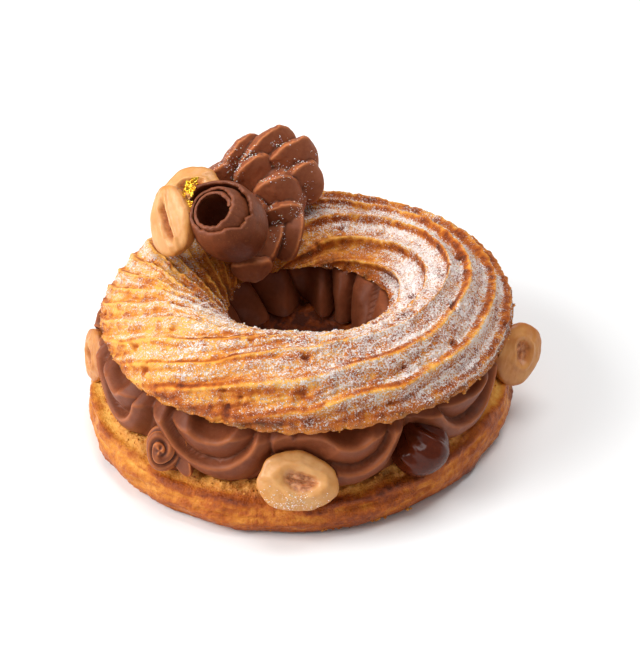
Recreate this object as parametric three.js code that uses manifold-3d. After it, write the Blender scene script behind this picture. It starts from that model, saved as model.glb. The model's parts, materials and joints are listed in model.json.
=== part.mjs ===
// Paris-Brest: a choux ring split into a base and a fluted lid, filled with
// praline cream piped in overlapping loops, and topped with a cream rosette,
// a chocolate curl and hazelnut halves.
// Millimetres, +Z up. While it is built, the ring's axis is the Z axis and the
// base stands on z = 0; the last lines centre the whole pastry's box on X and Y.

import * as THREE from "three";
import { mergeVertices } from "three/addons/utils/BufferGeometryUtils.js";
import { ParametricGeometry } from "three/addons/geometries/ParametricGeometry.js";
import Module from "manifold-3d";

const wasm = await Module();
wasm.setup();

const { sin, cos, abs, sign, pow, floor, min, max, hypot, sqrt, PI } = Math;
const TURN = 2 * PI;
const deg = (angle) => (angle * PI) / 180;
const clamp = THREE.MathUtils.clamp;

// ---------------------------------------------------------------- driving sizes
const GAP = 0.3; // clearance kept between touching pieces

const BASE = {
  outer: 44.0, // outer radius of the choux base
  inner: 13.6, // radius of the hole
  cutHeight: 11.5, // height of the cut face at the ring's axis
  cutSlope: 0.06, // the cut rises towards the back
  rimDrop: 2.2, // the rounded outer rim stays this far under the cut face
  steps: 46,
};

const LID = {
  outer: 42.4,
  inner: 14.4,
  centreX: 1.8, // the lid sits slightly off the base's axis
  centreY: 0.2,
  under: 23.8, // height of the cut face at the axis
  rise: 11.1, // crust height above the cut face
  dip: 0.07, // the crust is this share lower in two places at the back
  dipAt: [45, 160], // degrees
  frontHang: 1.5, // the crust's edge hangs this much lower at the front
  tilt: 0.045, // the front is propped up by the cream
  roundness: 1.65, // exponent of the dome's section
  ridges: 6, // flutes from the outer edge to the hole
  starts: 14, // flutes that begin at the outer edge
  ridgeDepth: 1.5,
  steps: 58,
  sectionSteps: 18,
};

const CREAM = {
  centres: [-3, 33, 68, 103, 138, 172, 207, 241, 277, 318], // degrees, one per piped loop
  outer: 40.2, // outer reach of the loops
  centreX: 0.8, // the loops lie slightly to the right
  inner: 16.2, // reach into the hole
  wallMiddle: 41, // radius at which a loop's length along the ring is measured
  leftLength: 15.5, // a loop sweeps in from the left
  rightLength: 9.0, // and turns up sharply on the right
  loopShift: 4.0,
  loopTop: 26.5, // height of the middle of a loop's bands
  loopDrop: 16.5, // from there down to the lowest band
  band: 0.3, // width of one band, as a share of the loop
  bandDepth: 1.3,
  bowlDepth: 1.6, // the loop's middle lies behind its bands
  endLift: 0.9, // the right end stands out by this much, the left end is tucked in
  topTuck: 5.2, // the outer face draws in by this much just under the lid
  foldDepth: 2.4, // folds on the hole's side
  foldLean: 0.05, // turn of a fold per millimetre of height, in radians
  steps: 86,
  wallSteps: 8,
};

const CURL = {
  radius: 7.7, // outermost radius of the scroll
  innerRadius: 5.7,
  halfLength: 7.2,
  turns: 1.8,
  thickness: 0.6,
  barrel: 0.71, // how strongly the ends draw in
  place: new THREE.Vector3(-13.5, 8.3, 41.0),
  axis: new THREE.Vector3(-0.354, -0.514, 0.781).normalize(),
};

// Lobes of the rosette, piped with a star nozzle from the back of the lid over
// its crest and down to the hole; the first three are the rope's body, and the
// third of them lies behind the curl and carries it. Each has a place, half sizes along its own
// axis, across it and in depth, and the lean of its axis from level in degrees.
const LOBES = [
  { place: [-5.0, 29.4, 37.6], half: [10.0, 6.2, 5.8], lean: 10 },
  { place: [-2.6, 23.4, 35.8], half: [5.6, 5.4, 4.6], lean: 60 },
  { place: [-10.4, 17.6, 35.0], half: [5.6, 5.0, 5.0], lean: 30 },
  { place: [-16.4, 28.6, 38.6], half: [3.6, 3.0, 4.6], lean: 45 },
  { place: [-11.6, 31.2, 41.6], half: [4.8, 3.2, 5.0], lean: 50 },
  { place: [-5.4, 31.8, 42.2], half: [6.8, 3.6, 5.6], lean: 42 },
  { place: [0.4, 30.2, 41.0], half: [5.6, 3.4, 5.6], lean: 32 },
  { place: [-8.8, 27.4, 40.0], half: [4.4, 3.1, 5.0], lean: 30 },
  { place: [2.4, 26.8, 38.0], half: [4.4, 3.6, 4.8], lean: 10 },
  { place: [-3.0, 22.2, 37.2], half: [4.7, 4.3, 4.6], lean: 15 },
  { place: [-3.6, 18.8, 34.8], half: [3.4, 3.0, 3.4], lean: 75 },
  { place: [-2.4, 16.6, 31.6], half: [5.4, 3.0, 3.2], lean: 70 },
  { place: [-5.6, 15.0, 30.4], half: [4.8, 2.4, 3.0], lean: 75 },
  { place: [-9.0, 10.6, 27.4], half: [3.8, 2.1, 3.0], lean: 10 },
];

// Half kernels: half sizes along the kernel, across it and in depth; where the
// cut face's middle is; the kernel's own direction and the way the cut looks.
const NUTS = {
  hazelnut_front: {
    half: [7.4, 5.9, 4.6],
    place: [-0.9, -43.6, 13.8],
    long: [0.98, -0.1, -0.15],
    face: [0.05, -0.8, 0.6],
  },
  hazelnut_right: {
    half: [6.4, 5.8, 4.4],
    place: [44.8, -5.4, 14.2],
    long: [0.3, 0.5, 0.82],
    face: [0.5, -0.8, 0.34],
  },
  hazelnut_left: {
    half: [5.6, 5.0, 4.4],
    place: [-41.9, -2.8, 15.2],
    long: [0.05, 0.3, 0.95],
    face: [-0.9, -0.4, 0.2],
  },
  hazelnut_top: {
    half: [7.4, 5.6, 5.0],
    place: [-25.2, 7.4, 40.5],
    long: [-0.24, 0.55, 0.8],
    face: [-0.68, -0.6, 0.42],
  },
  hazelnut_back: {
    half: [7.2, 5.8, 6.2],
    place: [-21.4, 18.8, 40.0],
    long: [0.93, 0.3, 0.2],
    face: [-0.1, -0.6, 0.8],
  },
};
const NUT = { hollowDepth: 0.16, hollowSize: 0.42, faceSwell: 0.12, around: 12, along: 9 };

// Drops let fall from a small nozzle: a ribbed belly drawn up to a blunt tip.
const DROPS = {
  praline_drop: {
    radius: 5.2,
    height: 11.0,
    ribs: 7,
    ribDepth: 0.05,
    place: [22.6, -34.2, 14.6],
    lean: [-0.15, 0.5, 0.85],
  },
  cream_bud: {
    radius: 4.6,
    height: 8.8,
    ribs: 6,
    ribDepth: 0.12,
    place: [-25.2, -31.8, 13.4],
    lean: [-0.3, -0.6, 0.74],
  },
};
const DROP_TAPER = 0.26;

// ---------------------------------------------------------------- solids
// A gentle unevenness between -1 and 1, the same every time, for baked outlines.
function uneven(angle, seed) {
  const slow = 0.5 * sin(3 * angle + seed);
  const middling = 0.3 * sin(5 * angle + 2.3 * seed);
  return slow + middling + 0.2 * sin(8 * angle + 4.1 * seed);
}

// A solid from a closed surface's corners and triangles, turned to face out.
function solidOf(corners, triangles) {
  const made = new wasm.Manifold(
    new wasm.Mesh({
      numProp: 3,
      vertProperties: new Float32Array(corners),
      triVerts: new Uint32Array(triangles),
    }),
  );
  return made.volume() < 0 ? solidOf(corners, triangles.toReversed()) : made;
}

// Merges a three.js geometry's shared corners and makes it a solid.
function toSolid(geometry) {
  const bare = geometry.clone();
  bare.deleteAttribute("normal");
  bare.deleteAttribute("uv");
  const merged = mergeVertices(bare, 1e-4);
  const index = Array.from(merged.index.array);
  const triangles = [];
  for (let i = 0; i < index.length; i += 3) {
    const corner = index.slice(i, i + 3);
    if (new Set(corner).size === 3) triangles.push(...corner);
  }
  return solidOf(merged.attributes.position.array, triangles);
}

// The largest body of a solid, as a three.js geometry.
function toGeometry(solid) {
  const bodies = solid.decompose();
  bodies.sort((a, b) => b.volume() - a.volume());
  const mesh = bodies[0].getMesh();
  const geometry = new THREE.BufferGeometry();
  const corners = new Float32Array(mesh.vertProperties);
  geometry.setAttribute("position", new THREE.BufferAttribute(corners, 3));
  geometry.setIndex(new THREE.BufferAttribute(new Uint32Array(mesh.triVerts), 1));
  geometry.computeVertexNormals();
  return geometry;
}

// Moves every corner of a geometry by a function of its place.
function reshaped(geometry, move) {
  const at = geometry.attributes.position;
  for (let i = 0; i < at.count; i++) {
    at.setXYZ(i, ...move(at.getX(i), at.getY(i), at.getZ(i)));
  }
  return geometry;
}

// Sweeps a section, given at each angle as a list of [radius, height], round +Z.
function ring(section, steps, grow) {
  const count = section(0, grow).length;
  const point = (u, v, target) => {
    const phi = TURN * (u === 1 ? 0 : u);
    const [r, z] = section(phi, grow)[floor(v * count + 0.5) % count];
    target.set(r * cos(phi), r * sin(phi), z);
  };
  return new ParametricGeometry(point, steps, count);
}

// A frame at a place whose Z axis is facing and whose X axis is nearest to long.
function frameOf(place, long, facing) {
  const axisZ = new THREE.Vector3(...facing).normalize();
  const axisX = new THREE.Vector3(...long);
  axisX.addScaledVector(axisZ, -axisX.dot(axisZ)).normalize();
  const axisY = new THREE.Vector3().crossVectors(axisZ, axisX);
  const frame = new THREE.Matrix4().makeBasis(axisX, axisY, axisZ);
  return frame.setPosition(new THREE.Vector3(...place));
}

// ---------------------------------------------------------------- choux base
// The height of the base's cut face.
function baseCut(radius, phi) {
  return BASE.cutHeight + BASE.cutSlope * radius * sin(phi);
}

// A closed outline: flat bottom, rounded outer crust, cut face, wall of the hole.
function baseSection(phi, grow) {
  const outline = 1 + 0.011 * sin(2 * phi) - 0.003 * cos(2 * phi);
  const outer = BASE.outer * outline + 0.35 * uneven(phi, 1.0) + grow;
  const inner = BASE.inner + 0.4 * uneven(phi, 2.0) - grow;
  const cutAt = (radius) => [radius, baseCut(radius, phi) + grow];
  const rim = baseCut(outer, phi) + grow - BASE.rimDrop + 0.3 * uneven(phi, 3.0);
  return [
    [inner + 2.5, 0],
    [outer - 3.6, 0],
    [outer - 1.4, 1.1],
    [outer - 0.1, 3.6],
    [outer - 0.2, rim * 0.72],
    [outer - 1.3, rim],
    [outer - 4.2, cutAt(outer)[1] - 0.6],
    cutAt(outer - 12),
    cutAt(inner + 3.2),
    [inner + 0.4, cutAt(inner)[1] - 1.6],
    [inner, 5.0],
    [inner + 0.9, 1.2],
  ];
}

// ---------------------------------------------------------------- choux lid
// How many flutes have passed at an angle: many on the left, where they run
// across the crust, and few on the right, where they follow the ring.
function winding(phi) {
  const swing = 11.5 * sin(phi - deg(197)) - 1.6 * sin(2 * (phi - deg(340)));
  return (LID.starts * phi + swing) / TURN;
}

// A flute's height over its valley, 0 to 1: a gentle face towards the outer
// edge, and a steep one towards the hole.
function flute(phase) {
  const gentle = 0.72;
  const part = phase - floor(phase);
  if (part < gentle) return pow(part / gentle, 1.8);
  return pow((1 - part) / (1 - gentle), 1.3);
}

// A low dome over a flat cut face, with the flutes raised on the dome.
function lidSection(phi, grow) {
  const outer = LID.outer + 0.4 * uneven(phi, 5.0) + grow;
  const inner = LID.inner + 0.5 * uneven(phi, 6.0) - grow;
  const [middle, half] = [(outer + inner) / 2, (outer - inner) / 2];
  const dips = LID.dipAt.map((at) => LID.dip * pow(max(0, cos(phi - deg(at))), 3));
  const rise = LID.rise * (1 + 0.04 * uneven(phi, 7.0) - dips[0] - dips[1]) + grow;
  const hang = LID.frontHang * max(0, -sin(phi));
  const power = 2 / LID.roundness;
  const section = [];
  for (let i = 0; i <= LID.sectionSteps; i++) {
    const share = i / LID.sectionSteps;
    const [c, d] = [cos(PI * share), sin(PI * share)];
    const height = LID.ridgeDepth * (flute(LID.ridges * share - winding(phi)) - 0.6);
    const relief = height * min(1, 8 * min(share, 1 - share));
    const edge = (grow + hang * max(0, c)) * pow(1 - abs(d), 4);
    section.push([
      middle + sign(c) * (half + relief) * pow(abs(c), power),
      LID.under + (rise + relief) * pow(abs(d), power) - edge,
    ]);
  }
  section.push([middle - half * 0.6, LID.under + 0.4 - grow]);
  section.push([middle + half * 0.6, LID.under + 0.4 - grow]);
  return section;
}

// The height of the lid's cut face where it lies on the cream.
function lidCut(radius, phi) {
  return LID.under - LID.tilt * radius * sin(phi);
}

const lidPlace = new THREE.Matrix4()
  .makeRotationX(-LID.tilt)
  .setPosition(LID.centreX, LID.centreY, 0);

// ---------------------------------------------------------------- praline cream
// The outer face of one piped loop, at a distance along the ring from its
// middle and a height: bands nested in a U that sweeps in from the left and
// turns up on the right, round a bowl that lies a little behind them.
function loopFace(along, height) {
  const aside = along - CREAM.loopShift;
  const length = aside < 0 ? CREAM.leftLength : CREAM.rightLength;
  const out = hypot(aside / length, (CREAM.loopTop - height) / CREAM.loopDrop);
  const part = out / CREAM.band - floor(out / CREAM.band);
  const bulge = CREAM.bandDepth * pow(sin(PI * pow(part, 0.6)), 0.5);
  const bowl = CREAM.bowlDepth * max(0, 1 - out / CREAM.band);
  const lift = (CREAM.endLift * clamp(along, -12, 12)) / 12;
  return CREAM.outer + bulge - bowl + lift - 5 * max(0, out - 1);
}

// The loops lie side by side, and the one that stands out most is seen.
function creamOuter(phi, height) {
  const faces = CREAM.centres.map((centre) => {
    const turn = phi - deg(centre);
    return loopFace(CREAM.wallMiddle * Math.atan2(sin(turn), cos(turn)), height);
  });
  return max(...faces) + CREAM.centreX * cos(phi);
}

// On the hole's side the loops show as leaning folds.
function creamInner(phi, height) {
  const phase = (CREAM.centres.length * phi) / 2 + CREAM.foldLean * PI * height;
  return CREAM.inner + CREAM.foldDepth * (1 - sqrt(abs(sin(phase))));
}

function creamSection(phi) {
  const heightAt = (radius, share) => {
    const [low, high] = [baseCut(radius, phi) + GAP, lidCut(radius, phi) - 2 * GAP];
    return THREE.MathUtils.lerp(low, high, share / CREAM.wallSteps);
  };
  const section = [];
  for (let i = 0; i <= CREAM.wallSteps; i++) {
    const height = heightAt(CREAM.outer, i);
    const tuckedIn = CREAM.topTuck * max(0, 4 * (i / CREAM.wallSteps) - 3);
    section.push([creamOuter(phi, height) - tuckedIn, height]);
  }
  for (let i = CREAM.wallSteps; i >= 0; i -= 2) {
    const height = heightAt(CREAM.inner, i);
    section.push([creamInner(phi, height), height]);
  }
  return section;
}

// ---------------------------------------------------------------- rosette
// Each lobe is a ball stretched along its own axis, leaning as seen from the
// front; together they make the rope.
function lobeGeometry({ place, half, lean }, grow) {
  const up = new THREE.Vector3(0, 0.566, 0.824);
  const long = new THREE.Vector3(cos(deg(lean)), 0, 0).addScaledVector(up, sin(deg(lean)));
  const facing = new THREE.Vector3(0, -0.824, 0.566);
  const ball = new THREE.SphereGeometry(1, 8, 5).scale(...half.map((size) => size + grow));
  return ball.applyMatrix4(frameOf(place, long, facing));
}

// ---------------------------------------------------------------- chocolate curl
const curlFrame = frameOf(CURL.place.toArray(), [1, 0, 0], CURL.axis.toArray());

function barrel(along) {
  return sqrt(1 - pow(CURL.barrel * along, 2));
}

// A sheet wound into a barrel-shaped scroll: a box whose width becomes the
// scroll's axis, whose height winds round it, and whose depth is the sheet.
function curlGeometry() {
  const sheet = new THREE.BoxGeometry(2, 1, 1, 4, 34, 1);
  const wound = reshaped(sheet, (along, up, through) => {
    const wind = up + 0.5;
    const outer = THREE.MathUtils.lerp(CURL.radius, CURL.innerRadius, wind);
    const radius = outer * barrel(along) - CURL.thickness * (0.5 - through);
    const angle = -TURN * CURL.turns * wind;
    return [radius * cos(angle), radius * sin(angle), CURL.halfLength * along];
  });
  return wound.applyMatrix4(curlFrame);
}

// The whole barrel, a gap larger, which other pieces keep clear of.
function curlClearance() {
  const end = CURL.halfLength + GAP;
  const profile = [new THREE.Vector2(0, -end)];
  for (let along = -1; along <= 1; along += 0.25) {
    const radius = (CURL.radius + GAP) * barrel(along);
    profile.push(new THREE.Vector2(radius, end * along));
  }
  profile.push(new THREE.Vector2(0, end));
  const body = new THREE.LatheGeometry(profile, 20).rotateX(PI / 2);
  return body.applyMatrix4(curlFrame);
}

// ---------------------------------------------------------------- hazelnuts
// A ball whose front half is pressed to a nearly flat cut face, with the
// kernel's hollow in its middle.
function nutGeometry({ half, place, long, face }, grow) {
  const ball = new THREE.SphereGeometry(1, NUT.around, NUT.along);
  const nut = reshaped(ball, (x, y, z) => {
    const apart = hypot(x, y);
    const hollow = NUT.hollowDepth * max(0, 1 - pow(apart / NUT.hollowSize, 2));
    const front = NUT.faceSwell * (1 - pow(apart, 4)) - hollow;
    const depth = z > 0 ? front * half[2] + grow : z * (half[2] + grow);
    return [x * (half[0] + grow), y * (half[1] + grow), depth];
  });
  return nut.applyMatrix4(frameOf(place, long, face));
}

// ---------------------------------------------------------------- drops
function dropGeometry({ radius, height, ribs, ribDepth, place, lean }, grow) {
  const ball = new THREE.SphereGeometry(1, 14, 9).rotateX(PI / 2);
  const drop = reshaped(ball, (x, y, z) => {
    const ribbed = 1 + ribDepth * cos(ribs * Math.atan2(y, x));
    const wide = (radius + grow) * ribbed * (1 - DROP_TAPER * z);
    return [x * wide, y * wide, z * (height / 2 + grow)];
  });
  return drop.applyMatrix4(frameOf(place, [1, 0, 0], lean));
}

// ---------------------------------------------------------------- the pieces
const lidSolid = (grow) => toSolid(ring(lidSection, LID.steps, grow).applyMatrix4(lidPlace));
const baseSolid = (grow) => toSolid(ring(baseSection, BASE.steps, grow));
const rosetteSolid = (grow) =>
  LOBES.map((lobe) => toSolid(lobeGeometry(lobe, grow))).reduce((a, b) => a.add(b));

// What every small piece gives way to.
const firm = baseSolid(GAP).add(lidSolid(GAP)).add(toSolid(curlClearance()));

const solids = {
  base_ring: { solid: baseSolid(0), finish: "crust" },
  lid_ring: { solid: lidSolid(0), finish: "crust" },
  chocolate_curl: { solid: toSolid(curlGeometry()), finish: "chocolate" },
};

// Adds the small pieces one after another: each gives way to the choux, the
// curl and the pieces before it, and the cream ring gives way to them all.
const placed = [];

function addSmall(name, solidAt, finish) {
  const inTheWay = wasm.Manifold.union([firm, ...placed]);
  solids[name] = { solid: solidAt(0).subtract(inTheWay), finish };
  placed.push(solidAt(GAP));
}

for (const [name, nut] of Object.entries(NUTS)) {
  addSmall(name, (grow) => toSolid(nutGeometry(nut, grow)), "nut");
}
addSmall("praline_drop", (grow) => toSolid(dropGeometry(DROPS.praline_drop, grow)), "glaze");
addSmall("cream_bud", (grow) => toSolid(dropGeometry(DROPS.cream_bud, grow)), "cream");
addSmall("cream_rosette", rosetteSolid, "cream");

const creamRing = toSolid(ring(creamSection, CREAM.steps, 0));
const cutCream = creamRing.subtract(wasm.Manifold.union(placed));
solids.cream_ring = { solid: cutCream, finish: "cream" };

const FINISHES = {
  crust: { color: 0xc98a3c, roughness: 0.75 },
  cream: { color: 0x7a4a34, roughness: 0.5 },
  chocolate: { color: 0x5a3425, roughness: 0.45 },
  nut: { color: 0xe0b878, roughness: 0.55 },
  glaze: { color: 0x33180f, roughness: 0.2 },
};

const pastry = new THREE.Group();
for (const [name, { solid, finish }] of Object.entries(solids)) {
  const material = new THREE.MeshStandardMaterial({ ...FINISHES[finish], metalness: 0 });
  const mesh = new THREE.Mesh(toGeometry(solid), material);
  mesh.name = name;
  pastry.add(mesh);
}

// The frame's origin: the middle of the pastry's box, on its lowest point.
const box = new THREE.Box3().setFromObject(pastry);
const middle = box.getCenter(new THREE.Vector3());
pastry.position.set(-middle.x, -middle.y, -box.min.z);

export default pastry;
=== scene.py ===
# %% [markdown]
# # A Paris-Brest
# A ring of choux pastry is cut through its middle, filled with praline cream
# piped in loops, and closed with its own fluted lid. On the back of the lid sit
# a rosette of the same cream, a curl of milk chocolate and halves of roasted
# hazelnut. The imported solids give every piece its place. This script gives each
# one its real surface: flutes, crumb, piped folds, icing sugar.

# %% Load the frame
import json
import math

import bpy
import numpy as np
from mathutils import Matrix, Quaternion, Vector


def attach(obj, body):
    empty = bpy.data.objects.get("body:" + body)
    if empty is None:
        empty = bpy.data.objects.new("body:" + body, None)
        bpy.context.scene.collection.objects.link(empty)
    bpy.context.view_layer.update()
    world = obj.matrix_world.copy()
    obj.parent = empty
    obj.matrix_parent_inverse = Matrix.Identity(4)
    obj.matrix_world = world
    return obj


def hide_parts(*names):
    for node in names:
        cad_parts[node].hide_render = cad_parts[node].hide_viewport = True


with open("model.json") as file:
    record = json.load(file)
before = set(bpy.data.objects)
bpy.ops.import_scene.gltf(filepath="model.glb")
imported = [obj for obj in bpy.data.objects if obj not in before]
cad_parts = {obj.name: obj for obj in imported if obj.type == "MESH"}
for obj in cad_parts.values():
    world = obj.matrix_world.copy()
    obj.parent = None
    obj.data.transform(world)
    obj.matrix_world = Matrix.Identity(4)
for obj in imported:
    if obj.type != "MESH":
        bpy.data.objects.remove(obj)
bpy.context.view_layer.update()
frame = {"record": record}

MM = 0.001
TURN = 2 * math.pi

# %% [markdown]
# The ring is turned round an upright axis that isn't quite the middle of the
# whole box, because the nuts stick out on one side. The record's resting face
# lies 30 mm in front of that axis, so the axis can be found from it. All
# shapes below are worked out in millimetres from the axis, and `to_world`
# brings them to their place.

# %% Where the ring's axis stands
RESTING_POINT = frame["record"]["mounts"][0]["pos_m"]
RESTING_RADIUS = 30 * MM
AXIS = np.array([RESTING_POINT[0], RESTING_POINT[1] + RESTING_RADIUS, 0.0])


def to_world(points):
    """Millimetres from the ring's axis to metres in the row's frame."""
    return np.asarray(points) * MM + AXIS


def points_at(x, y, z):
    """Points from their three coordinates, each one a grid or a single number."""
    return np.stack(np.broadcast_arrays(x, y, z), axis=-1)


def polar(phi, radius, height):
    """Points at an angle and a radius round the axis, at a height."""
    return points_at(radius * np.cos(phi), radius * np.sin(phi), height)


print("ring axis, mm:", (AXIS / MM).round(2))

# %% [markdown]
# Baking and hand work are never even. Value noise gives that: a random number
# at each corner of an imagined grid of cubes, blended smoothly in between. The
# sum of several, each half the size and strength of the last, is uneven at all
# scales, as crust is. The same seed gives the same surface on every run.

# %% Noise for uneven surfaces
CORNER_STEPS = np.array([73856093, 19349663, 83492791])
SEED_STEP, FIRST_STIR, SECOND_STIR = 2654435761, 2246822519, 3266489917
LOW_BITS = 0xFFFFFFFF


def value_noise(points, seed):
    """Noise between -1 and 1: each corner's whole numbers are multiplied and
    stirred to a random one, and the eight corners are blended smoothly."""
    cell = np.floor(points).astype(np.int64)
    part = points - cell
    part = part**3 * (part * (part * 6 - 15) + 10)
    total = np.zeros(points.shape[:-1])
    for corner in np.ndindex(2, 2, 2):
        stirred = np.bitwise_xor.reduce((cell + corner) * CORNER_STEPS, axis=-1)
        stirred = (stirred ^ seed * SEED_STEP) & LOW_BITS
        stirred = ((stirred ^ (stirred >> 15)) * FIRST_STIR) & LOW_BITS
        stirred = ((stirred ^ (stirred >> 13)) * SECOND_STIR) & LOW_BITS
        value = ((stirred ^ (stirred >> 16)) & 0xFFFF) / 32767.5 - 1
        total += value * np.where(corner, part, 1 - part).prod(axis=-1)
    return total


def rough(points, size, seed, octaves=3):
    """Noise summed over octaves; size is the first one's grid in millimetres."""
    points = np.asarray(points, float) / size
    total = np.zeros(points.shape[:-1])
    for octave in range(octaves):
        total += value_noise(points * 2**octave, seed + octave) / 2**octave
    return total


def uneven(angle, seed):
    """A slow wave round the ring between -1 and 1, as a hand-piped outline has."""
    slow = 0.5 * np.sin(3 * angle + seed)
    middling = 0.3 * np.sin(5 * angle + 2.3 * seed)
    return slow + middling + 0.2 * np.sin(8 * angle + 4.1 * seed)


def step(value, low, high):
    """0 below low, 1 above high, and a smooth ramp between them."""
    share = np.clip((value - low) / (high - low), 0, 1)
    return share * share * (3 - 2 * share)


print("noise at three places:", rough([[0.5, 0, 0], [7.2, 3, 1], [30, 2, 5]], 4.0, 1).round(3))

# %% [markdown]
# Two things are measured on a mesh. The volume that its faces enclose is
# negative when they point inwards, and then they are turned over. How sharply
# the surface bends says where a lip is thin or a crease is deep, and the
# cream's finish uses that to paint a highlight on lips and shade in creases.

# %% Volume and bend
def signed_volume(points, faces):
    """Six times the volume: the sum of each triangle's corner products."""
    total = 0.0
    for second in range(1, faces.shape[1] - 1):
        a, b, c = points[faces[:, 0]], points[faces[:, second]], points[faces[:, second + 1]]
        total += np.einsum("ij,ij->i", a, np.cross(b, c)).sum()
    return total


def outward(points, face_sets):
    """The same faces, turned over if the volume they enclose is negative."""
    if sum(signed_volume(points, faces) for faces in face_sets) < 0:
        return [faces[:, ::-1] for faces in face_sets]
    return face_sets


def joined(shells):
    """Several closed shells as one array of points and one list of faces."""
    points, face_sets, start = [], [], 0
    for shell, its_faces in shells:
        points.append(shell)
        face_sets += [faces + start for faces in outward(shell, its_faces)]
        start += len(shell)
    return np.concatenate(points), face_sets


def curvature(points, face_sets):
    """How sharply the surface bends outwards at each point, in 1/mm: twice the
    height above the mean of its neighbours, over their squared distance."""
    count = len(points)

    def gathered(keys, numbers):
        return np.stack([np.bincount(keys, column, count) for column in numbers.T], axis=-1)

    normal = np.zeros((count, 3))
    start, end = [], []
    for faces in face_sets:
        first, second, third = (points[faces[:, i]] for i in range(3))
        span = np.cross(second - first, third - first)
        for corner in range(faces.shape[1]):
            after = (corner + 1) % faces.shape[1]
            normal += gathered(faces[:, corner], span)
            start += [faces[:, corner], faces[:, after]]
            end += [faces[:, after], faces[:, corner]]
    start, end = np.concatenate(start), np.concatenate(end)
    normal /= np.linalg.norm(normal, axis=-1, keepdims=True) + 1e-12
    beside = np.maximum(np.bincount(start, minlength=count), 1)[:, None]
    away = points[end] - points[start]
    reach = gathered(start, (away**2).sum(-1)[:, None]) / beside
    value = -2 * (gathered(start, away) / beside * normal).sum(-1, keepdims=True) / (reach + 1e-9)
    for _ in range(5):
        value = 0.5 * value + 0.5 * gathered(start, value[end]) / beside
    return value[:, 0]


TETRAHEDRON = np.array([[0, 0, 0], [1, 0, 0], [0, 1, 0], [0, 0, 1]], float)
TRIANGLES = np.array([[0, 2, 1], [0, 1, 3], [0, 3, 2], [1, 2, 3]])
print("six times a corner's volume:", signed_volume(TETRAHEDRON, TRIANGLES))

# %% [markdown]
# One function makes each piece, so that all are made the same way: points in
# millimetres become a mesh in the frame, with numbers on its points for the
# finish to read, and the piece is put on its body and its solid is hidden.

# %% Points to a piece
def placed(name, data):
    """A new object in the scene, with its mesh, light or lens."""
    thing = bpy.data.objects.new(name, data)
    bpy.context.collection.objects.link(thing)
    return thing


def make_piece(name, points, face_sets, material, node=None, values=None, lips=False):
    """A mesh object from points in mm and arrays of quads or triangles. It moves
    with the pastry, and stands for its solid if it has one.

    values maps the name of an attribute to one number per point. With lips, one
    more attribute says how sharply the surface bends outwards.
    """
    points = np.asarray(points).reshape(-1, 3)
    face_sets = outward(points, face_sets)
    values = dict(values or {})
    if lips:
        values["lip"] = curvature(points, face_sets)
    mesh = bpy.data.meshes.new(name)
    mesh.from_pydata(to_world(points), [], [face for faces in face_sets for face in faces.tolist()])
    for key, numbers in values.items():
        layer = mesh.attributes.new(key, "FLOAT", "POINT")
        layer.data.foreach_set("value", np.asarray(numbers, np.float32).ravel())
    mesh.polygons.foreach_set("use_smooth", np.ones(len(mesh.polygons), bool))
    mesh.materials.append(material)
    piece = placed(name, mesh)
    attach(piece, "root")
    if node:
        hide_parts(node)
    triangles = sum(len(faces) * (faces.shape[1] - 2) for faces in face_sets)
    print(f"{name}: {len(points)} points, {triangles} triangles")


# %% [markdown]
# Every surface here is a grid of points. A ring's grid closes both ways, a
# kernel's grid closes one way and ends in two poles, and a thin sheet's grid is
# a flat loop round the sheet with a strip of faces at each end. So the faces
# are counted out once for each of the three.

# %% Faces of rings, balls and sheets
def quads_between(rows, columns):
    """Quads of a grid that closes both ways, as a list of four point numbers."""
    row, column = np.meshgrid(np.arange(rows), np.arange(columns), indexing="ij")
    after, beside = (row + 1) % rows, (column + 1) % columns
    corners = [row * columns + column, after * columns + column]
    corners += [after * columns + beside, row * columns + beside]
    return np.stack(corners, axis=-1)


def ring_faces(rows, columns):
    """Faces of a ring: the whole closed grid."""
    return [quads_between(rows, columns).reshape(-1, 4)]


def ball_faces(rows, columns):
    """Faces of a ball: open rows, closed columns, and a fan round each pole.

    The two poles are the last two points.
    """
    sides = quads_between(rows, columns)[:-1].reshape(-1, 4)
    beside = (np.arange(columns) + 1) % columns
    low, high = rows * columns, rows * columns + 1
    fan = np.stack([np.full(columns, low), np.arange(columns), beside], axis=-1)
    last = (rows - 1) * columns
    top = np.stack([np.full(columns, high), last + beside, last + np.arange(columns)], axis=-1)
    return [sides, np.concatenate([fan, top])]


def sheet_faces(rows, columns):
    """Faces of a thin sheet: its flat loop is swept along the rows, and each end
    is closed by a strip between the loop's two sides."""
    sides = quads_between(rows, columns)[:-1].reshape(-1, 4)
    near = np.arange(columns // 2 - 1)
    far = columns - 1 - near
    cap = np.stack([near, near + 1, far - 1, far], axis=-1)
    return [sides, cap, cap[:, ::-1] + (rows - 1) * columns]


print("a ring of 3 by 4 points has", len(ring_faces(3, 4)[0]), "faces")

# %% [markdown]
# Relief is raised along the surface's own normal, so that a wrinkle stands out
# the same on a side and on a top. A section is drawn with few corners and then
# rounded, as dough rounds itself.

# %% Normals and rounded outlines
def normals_of(grid):
    """The outward normal of a closed grid: the cross product of its two
    directions, each measured from one neighbour to the other."""
    along = np.roll(grid, -1, axis=0) - np.roll(grid, 1, axis=0)
    across = np.roll(grid, -1, axis=1) - np.roll(grid, 1, axis=1)
    normal = np.cross(along, across)
    return normal / (np.linalg.norm(normal, axis=-1, keepdims=True) + 1e-9)


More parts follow.
